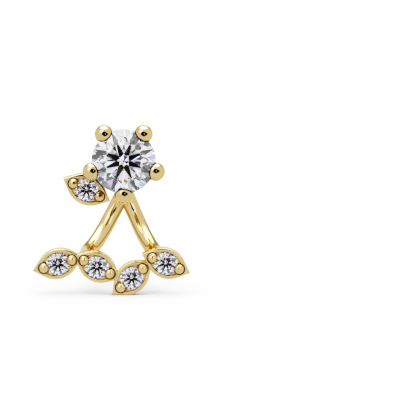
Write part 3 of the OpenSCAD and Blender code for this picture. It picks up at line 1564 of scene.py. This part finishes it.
    def ear_back(self) -> bpy.types.Object:
        """Turns the plain ear back with its flange and barrel.

        Returns:
            The finished piece.
        """
        corners = [(r, self.back_face - depth, soft) for r, depth, soft in self.back_profile]
        ring = rounded([corners[-1], *corners, corners[0]])[1:-1]
        made = Draft().lathe(ring, LARGE, closed=True).object("ear_back_turned")
        stand = Stand(Body.STUD, Slot.GOLD, self.gold)
        return stand.finished(made, "ear_back_turned", "ear_back")


# The jacket


@dataclass(frozen=True)
class Arm:
    """Side course of one arm: its place at the split and its step per length."""

    start: float
    slope: float


@dataclass
class Jacket:
    """Post ring, stem, two curved arms and the row of four leaves.

    Each lapped leaf, counted from 0, is cut back under the next one.
    """

    gold: bpy.types.Material
    diamond: bpy.types.Material
    lobe: float = 2.4
    ring_r: float = 1.25
    ring_t: float = 1.1
    ring_round: float = 0.25
    bore: float = 0.48
    bore_break: float = 0.07
    back: float = 2.95
    split: float = 3.3
    bend: float = 4.25
    bend_r: float = 3.6
    ease_start: float = 5.1
    ease: float = 0.6
    sink: float = 0.12
    wire_d: float = 1.22
    wire_end_d: float = 1.26
    stem_extra: float = 0.02
    stem_lap: float = 0.3
    lap_gap: float = 0.02
    lap_drop: float = 0.07
    lapped: tuple[int, ...] = (1, 2)
    steps: int = 110
    sides: int = SMALL
    arms: tuple[Arm, ...] = (Arm(-0.1, -0.505), Arm(0.0, 0.425))
    leaves: tuple[Leaf, ...] = (
        Leaf(-5.14, -8.14, 16.0, 4.2),
        Leaf(-2.1, -8.38, -27.0, 4.2),
        Leaf(0.6, -9.24, 40.5, 4.2),
        Leaf(3.25, -8.1, -22.5, 4.2),
    )

    @property
    def ring_span(self) -> Pair:
        """Heights of the ring's back and front."""
        return -self.lobe - self.ring_t, -self.lobe

    def _arm_point(self, s: float, arm: Arm) -> Point:
        """Follows an arm down, round the bend and forward.

        Args:
            s: Length from the split.
            arm: The arm's side course.

        Returns:
            The arm's middle there.
        """
        run = self.bend - self.split
        arc = self.bend_r * math.pi / 2
        if s < run:
            y, h = -self.split - s, -self.back
        elif s < run + arc:
            t = (s - run) / self.bend_r
            y = -self.bend - self.bend_r * math.sin(t)
            h = -self.back + self.bend_r * (1 - math.cos(t))
        else:
            y, h = -self.bend - self.bend_r, -self.back + self.bend_r + s - run - arc
        reach = s
        if s > self.ease_start:
            reach = self.ease_start + self.ease * (1 - math.exp((self.ease_start - s) / self.ease))
        return (arm.start + arm.slope * reach, y, h)

    def _arm(self, i: int, arm: Arm) -> bpy.types.Object:
        """Sweeps one arm's wire along its course.

        Args:
            i: The arm's number.
            arm: Its side course.

        Returns:
            One wire that thickens a little towards the leaves.
        """
        leaf_back = self.leaves[0].front - self.leaves[0].thick
        forward = leaf_back + self.sink + self.back - self.bend_r
        length = self.bend - self.split + self.bend_r * math.pi / 2 + forward
        places = np.linspace(0, length, self.steps)
        path = [self._arm_point(float(s), arm) for s in places]
        growth = self.wire_end_d - self.wire_d
        radii = [(self.wire_d + growth * s / length) / 2 for s in places]
        return swept_wires(f"arm_{i}", [path], radii, self.sides, self.gold)

    def _ring(self) -> bpy.types.Object:
        """Turns the ring that hangs on the post.

        Returns:
            A round-edged disc, which is bored later.
        """
        (low, high), r, soft = self.ring_span, self.ring_r, self.ring_round
        profile = rounded([(AXIS, low, 0), (r, low, soft), (r, high, soft), (AXIS, high, 0)], 8)
        return Draft().lathe(profile, LARGE).object("post_ring")

    def _stem(self) -> list[bpy.types.Object]:
        """Draws the stem from the ring down to the split.

        Returns:
            The stem's wire and its rounded end.
        """
        r, low, top = self.wire_d / 2 + self.stem_extra, -self.split, self.stem_lap - self.ring_r
        course = [(0, low, -self.back), (0, top, -self.back)]
        wire = swept_wires("stem", [course], [r, r], self.sides, self.gold)
        end = Draft().lathe(ball_profile(r, -self.back, 24), self.sides, (0, low))
        return [wire, end.object("stem_end")]

    def _bore(self) -> bpy.types.Object:
        """Makes the hole for the post, with its edges broken.

        Returns:
            A closed shape to carve with.
        """
        (low, high), r = self.ring_span, self.bore
        wide, soft = self.bore + self.bore_break, self.bore_break
        back = [(AXIS, low - OVER), (wide, low - OVER), (wide, low), (r, low + soft)]
        front = [(r, high - soft), (wide, high), (wide, high + OVER), (AXIS, high + OVER)]
        return Draft().lathe(back + front, MIDDLE).object("ring_bore")

    def _row(self) -> bpy.types.Object:
        """Joins the four leaves, each later one lapping over the one before.

        Returns:
            The row as one shape, its pockets, lines and cups cut.
        """
        row: Bench | None = None
        for i, leaf in enumerate(self.leaves):
            plate = Bench(leaf.blank(f"row_blank_{i}"))
            if i in self.lapped:
                low, high = leaf.front - self.lap_drop, leaf.front + 2 * OVER
                over = self.leaves[i + 1].prism(f"row_lap_{i}", self.lap_gap, low, high)
                plate.work(Work.CARVE, over)
            if row is None:
                row = plate
            else:
                row.work(Work.SOLDER, plate.done())
        for i, leaf in enumerate(self.leaves):
            pocket = Bench(leaf.pocket(f"row_pocket_{i}"))
            pocket.work(Work.SOLDER, *leaf.lines(f"row_line_{i}"), *leaf.cups(f"row_cup_{i}"))
            if i in self.lapped:
                low, high = leaf.front - 2 * leaf.thick, leaf.front + 2 * OVER
                over = self.leaves[i + 1].prism(f"row_keep_{i}", 0.0, low, high)
                pocket.work(Work.CARVE, over)
            row.work(Work.CARVE, pocket.done())
        return row.done()

    def metal(self) -> bpy.types.Object:
        """Solders ring, stem, arms, leaves and beads into one piece.

        Returns:
            The finished piece.
        """
        frame = Bench(self._row())
        frame.work(Work.SOLDER, beads(self.leaves, "row_beads", self.gold))
        frame.work(Work.SOLDER, *[self._arm(i, arm) for i, arm in enumerate(self.arms)])
        frame.work(Work.SOLDER, *self._stem(), self._ring())
        for i, leaf in enumerate(self.leaves):
            frame.work(Work.CARVE, *leaf.seat(f"row_room_{i}"))
        frame.work(Work.CARVE, self._bore())
        rounds = [Round(p, leaf.bead_d / 2) for leaf in self.leaves for p in leaf.bead_points()]
        stand = Stand(Body.JACKET, Slot.GOLD, self.gold)
        return stand.finished(frame.done(), "jacket_metal", "jacket_frame", rounds)

    def stones(self) -> list[bpy.types.Object]:
        """Cuts the four small stones.

        Returns:
            The finished pieces in the row's order.
        """
        stand = Stand(Body.JACKET, Slot.DIAMOND, self.diamond)
        return [
            leaf.stone.set_in(
                stand, f"jacket_brilliant_{i}", f"jacket_stone_{i}", leaf.stone_place()
            )
            for i, leaf in enumerate(self.leaves, 1)
        ]


# The studio


@dataclass
class Studio:
    """Plain pale floor, soft light from all round, cards in front and the camera.

    The camera and the cards are placed in millimetres, the cards by their corners,
    sideways and upwards. A pair in degrees gives a cone's outer and inner angle. A reach
    gives the cosines between which a light grows, and an edge the values of a noise
    between which its patches begin.
    """

    floor_z: float
    lens: float = 600.0
    tilt_deg: float = 7.0
    camera_mm: Point = (6.5248, -538.1596, 61.82)
    floor_half: float = 0.6
    level: float = 0.97
    overhead: float = 3.2
    overhead_way: Point = (0.0, 0.2, 1.0)
    overhead_deg: Pair = (40.0, 18.0)
    left_lamp: float = 1.3
    left_lamp_turn_deg: float = -45.0
    left_lamp_up_deg: float = 45.0
    left_lamp_deg: Pair = (28.0, 14.0)
    rear_high: float = 0.55
    rear_reach: Pair = (0.3, 0.7)
    rear_rise_reach: Pair = (0.25, 0.4)
    shadowed: float = 0.2
    shadowed_edge: Pair = (0.2, 0.8)
    stone_low: float = 0.09
    stone_high: float = 1.42
    stone_top: float = 0.9
    stone_rear: float = 0.1
    stone_rear_reach: Pair = (-0.3, 0.2)
    stone_patch: float = 3.2
    stone_patch_edge: Pair = (0.41, 0.54)
    stone_dark: float = 0.985
    stone_dark_deg: Pair = (19.0, 15.0)
    stone_dark_up_deg: float = 3.5
    violet: Colour = (1.0, 0.96, 1.01, 1)
    blue: Colour = (0.985, 0.99, 1.01, 1)
    sideways_reach: Pair = (-0.6, 0.6)
    spark_patch: float = 7.0
    spark_least: float = 0.1
    spark_gain: float = 1.8
    spark_blue: Colour = (0.7, 0.84, 1.22, 1)
    spark_blue_edge: Pair = (0.66, 0.69)
    spark_rose: Colour = (0.8, 0.66, 1.0, 1)
    spark_rose_edge: Pair = (0.3, 0.27)
    floor_level: float = 1.87
    floor_lamp: float = 2.78
    floor_lamp_way: Point = (0.0, -0.35, 1.0)
    floor_lamp_reach: Pair = (0.8, 0.95)
    backdrop: float = 4.0
    card_y: float = -27.0
    card_step: float = 0.2
    black_corners: tuple[Pair, ...] = (
        (-12.5, 4.5), (-10.0, 14.5), (-4.0, 20.0), (3.0, 20.0), (12.0, 14.5), (30.0, 8.5),
        (30.5, 5.0), (6.0, -5.5), (1.6, -6.6), (0.5, -4.4), (-4.6, -2.0),
    )
    right_corners: tuple[Pair, ...] = (
        (8.5, 16.2), (12.0, 14.4), (29.8, 8.4), (30.3, 5.1), (8.5, -4.3),
    )
    left_corners: tuple[Pair, ...] = (
        (-12.4, 4.5), (-9.9, 14.4), (-4.0, 19.9), (-2.5, 19.9), (-2.5, -2.7), (-4.6, -1.9),
    )
    side_level: float = 1.9
    front_corners: tuple[Pair, ...] = (
        (-9.0, -14.5), (8.0, -14.5), (8.0, 2.0), (-9.0, 2.0),
    )
    glint_at: Pair = (5.5, 5.6)
    glint_r: float = 1.5
    glint: float = 4.0
    tone: tuple[Pair, ...] = (
        (0.0, 0.0), (0.025, 0.005), (0.13, 0.065), (0.25, 0.2), (0.39, 0.355), (0.5, 0.485),
        (0.665, 0.66), (0.85, 0.752), (1.04, 0.825), (1.33, 0.905), (1.8, 0.975), (2.3, 1.0),
    )

    def _staged(self, name: str, mesh: bpy.types.Mesh) -> bpy.types.Object:
        """Links a mesh as part of the studio.

        Args:
            name: The object's name.
            mesh: Its mesh.

        Returns:
            The object, which isn't part of the earring.
        """
        made = bpy.data.objects.new(name, mesh)
        bpy.context.scene.collection.objects.link(made)
        made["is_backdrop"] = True
        return made

    def floor(self) -> None:
        """Lays the floor just under the lowest leaf tip."""
        half, z = self.floor_half, self.floor_z
        corners = [(-half, -half, z), (half, -half, z), (half, half, z), (-half, half, z)]
        mesh = bpy.data.meshes.new("studio_floor")
        mesh.from_pydata(corners, [], [(0, 1, 2, 3)])
        mesh.materials.append(FloorFinish().make())
        made = self._staged("studio_floor", mesh)
        made.visible_glossy = False
        made.visible_transmission = False

    def cards(self, metal: Sequence[bpy.types.Object], frame: bpy.types.Object) -> None:
        """Stands cards in front: a black one for all, and lit ones that only some metal sees.

        Args:
            metal: The pieces that the lower lit card lights.
            frame: The piece that the lit ends of the black card light.
        """
        y, step = self.card_y, self.card_step
        self._card("black_card", self.black_corners, y + 2 * step, 0.0)
        self._card("front_card", self.front_corners, y, self.level, metal)
        for i, corners in enumerate((self.right_corners, self.left_corners)):
            self._card(f"side_card_{i}", corners, y + 3 * step, self.side_level, [frame])
        (x, z), r = self.glint_at, self.glint_r
        turns = [k * math.pi / 12 for k in range(24)]
        disc = [(x + r * math.cos(t), z + r * math.sin(t)) for t in turns]
        self._card("glint_disc", disc, y + 4 * step, self.glint)

    def _card(
        self,
        name: str,
        outline: Sequence[Pair],
        y: float,
        strength: float,
        lights: Sequence[bpy.types.Object] = (),
    ) -> None:
        """Makes one upright card that only reflections see.

        Args:
            name: The card's name.
            outline: Its corners, sideways and upwards.
            y: Where it stands.
            strength: How bright it is; 0 for a black card.
            lights: The only pieces that see it lit, or none for all.
        """
        mesh = bpy.data.meshes.new(name)
        corners = [(a * MM, y * MM, b * MM) for a, b in outline]
        mesh.from_pydata(corners, [], [tuple(range(len(corners)))])
        material, sheet = new_material(name)
        glow = sheet.signal("ShaderNodeEmission", None, {"Color": WHITE, "Strength": strength})
        sheet.node("ShaderNodeOutputMaterial", None, {"Surface": glow})
        mesh.materials.append(material)
        made = self._staged(name, mesh)
        made.visible_camera = False
        made.visible_diffuse = False
        made.visible_transmission = False
        made.visible_shadow = False
        if lights:
            seen = bpy.data.collections.new(f"{name}_lights")
            for piece in lights:
                seen.objects.link(piece)
            made.light_linking.receiver_collection = seen

    def light(self) -> None:
        """Sets up the room: one light for metal, one inside the stones, one for the floor."""
        world = bpy.data.worlds.new("studio_light")
        bpy.context.scene.world = world
        world.use_nodes = True
        world.node_tree.nodes.clear()
        world.cycles.sampling_method = "NONE"
        sheet = NodeSheet(world.node_tree)
        way = sheet.signal("ShaderNodeTexCoord", output="Generated")
        path = sheet.node("ShaderNodeLightPath")
        through = sheet.output(path, "Is Transmission Ray")
        matt = sheet.output(path, "Is Diffuse Ray")
        top = sheet.cone(way, Vector(self.overhead_way), *self.overhead_deg)
        sparks = sheet.noise(way, self.spark_patch, 0.0)
        metal = self._metal_light(sheet, way, top)
        under = sheet.output(path, "Transmission Depth").step(*self.shadowed_edge)
        metal = metal * (1 - (1 - self.shadowed) * under)
        stone = self._stone_light(sheet, way, top, sparks)
        floor_way = sheet.toward(way, Vector(self.floor_lamp_way))
        floor = self.floor_level + self.floor_lamp * floor_way.step(*self.floor_lamp_reach)
        strength = metal * (1 - through) * (1 - matt) + stone * through + floor * matt
        tint = sheet.blend(through, WHITE, self._stone_tint(sheet, way, sparks))
        room = sheet.signal("ShaderNodeBackground", None, {"Color": tint, "Strength": strength})
        plain = sheet.signal(
            "ShaderNodeBackground", None, {"Color": WHITE, "Strength": self.backdrop}
        )
        seen = sheet.output(path, "Is Camera Ray")
        mixed = sheet.signal("ShaderNodeMixShader", None, {0: seen, 1: room, 2: plain})
        sheet.node("ShaderNodeOutputWorld", None, {"Surface": mixed})

    def _metal_light(self, sheet: NodeSheet, way: Signal, top: Signal) -> Signal:
        """Lights the metal: bright overhead and at the upper left, dimmer high at the rear.

        Args:
            sheet: The room's sheet.
            way: The direction looked in.
            top: The mark of the overhead light.

        Returns:
            The room's brightness.
        """
        rear = sheet.toward(way, Vector((0, 1, 0))).step(*self.rear_reach)
        rear = rear * sheet.toward(way, Vector((0, 0, 1))).step(*self.rear_rise_reach)
        turn, up = math.radians(self.left_lamp_turn_deg), math.radians(self.left_lamp_up_deg)
        lamp_way = Vector((math.sin(turn), -1, math.tan(up)))
        lamp = sheet.cone(way, lamp_way, *self.left_lamp_deg)
        walls = self.level * (1 - (1 - self.rear_high) * rear)
        return walls + self.overhead * top + self.left_lamp * lamp

    def _stone_light(
        self, sheet: NodeSheet, way: Signal, top: Signal, sparks: Signal
    ) -> Signal:
        """Lights the stones from within: patches, dark ahead and behind, bright overhead.

        Args:
            sheet: The room's sheet.
            way: The direction looked in.
            top: The mark of the overhead light.
            sparks: Finer noise that makes some patches much brighter.

        Returns:
            The brightness that light in a stone finds.
        """
        rise = math.radians(self.stone_dark_up_deg)
        ahead_way = Vector((0, -math.cos(rise), math.sin(rise)))
        ahead = sheet.cone(way, ahead_way, *self.stone_dark_deg)
        patches = sheet.noise(way, self.stone_patch, 1.0).step(*self.stone_patch_edge)
        behind = sheet.toward(way, Vector((0, 1, 0))).step(*self.stone_rear_reach)
        growth = self.stone_high - self.stone_low
        spread = self.stone_low + growth * patches * (self.spark_least + self.spark_gain * sparks)
        dimmed = (1 - self.stone_dark * ahead) * (1 - (1 - self.stone_rear) * behind)
        return spread * dimmed + self.stone_top * top

    def _stone_tint(self, sheet: NodeSheet, way: Signal, sparks: Signal) -> Signal:
        """Tints the light in the stones, with a few blue and rose glints.

        Args:
            sheet: The room's sheet.
            way: The direction looked in.
            sparks: Noise whose highest and lowest places glint.

        Returns:
            The colour.
        """
        sideways = sheet.toward(way, Vector((1, 0, 0))).step(*self.sideways_reach)
        tint = sheet.blend(sideways, self.violet, self.blue)
        tint = sheet.blend(sparks.step(*self.spark_blue_edge), tint, self.spark_blue)
        return sheet.blend(sparks.step(*self.spark_rose_edge), tint, self.spark_rose)

    def camera(self) -> None:
        """Sets the camera at the photograph's angle, far off with a long lens."""
        data = bpy.data.cameras.new("studio_camera")
        data.lens = self.lens
        data.sensor_width = 36.0
        data.clip_start, data.clip_end = 0.01, 10.0
        made = bpy.data.objects.new("studio_camera", data)
        bpy.context.scene.collection.objects.link(made)
        made.location = [v * MM for v in self.camera_mm]
        made.rotation_euler = (math.radians(90 - self.tilt_deg), 0, 0)
        bpy.context.scene.camera = made

    def colour(self) -> None:
        """Rolls bright tones off softly, and lets light pass often enough through the stones."""
        scene = bpy.context.scene
        view = scene.view_settings
        view.view_transform = "Standard"
        view.look = "None"
        view.use_curve_mapping = True
        top = self.tone[-1][0]
        mapping = view.curve_mapping
        mapping.white_level = (top, top, top)
        # The last curve works on all three colours alike.
        *_, curve = mapping.curves
        curve.points[0].location = (0.0, 0.0)
        curve.points[1].location = (1.0, self.tone[-1][1])
        for x, y in self.tone[1:-1]:
            curve.points.new(x / top, y)
        mapping.update()
        cycles = scene.cycles
        cycles.max_bounces = 20
        cycles.glossy_bounces = 12
        cycles.transmission_bounces = 20
        cycles.diffuse_bounces = 4
        cycles.caustics_reflective = False
        cycles.caustics_refractive = False
        cycles.sample_clamp_indirect = 8.0
        cycles.use_denoising = True
        cycles.denoiser = "OPENIMAGEDENOISE"


def main() -> None:
    """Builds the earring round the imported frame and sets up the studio."""
    logging.basicConfig(level=logging.INFO, format="%(message)s")
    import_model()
    cad_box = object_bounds()
    studio = Studio(floor_z=cad_box[0].z - FLOOR_GAP)
    studio.camera()
    gold, diamond = GoldFinish().make(), DiamondFinish().make()
    stud, jacket = Stud(gold, diamond), Jacket(gold, diamond)
    frame = jacket.metal()
    metal = [stud.metal(), stud.ear_back(), frame]
    for piece in (*metal, *stud.stones(), *jacket.stones()):
        LOG.info("made %s", piece.name)
    studio.floor()
    studio.cards(metal, frame)
    studio.light()
    studio.colour()
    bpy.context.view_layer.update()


if __name__ == "__main__":
    main()
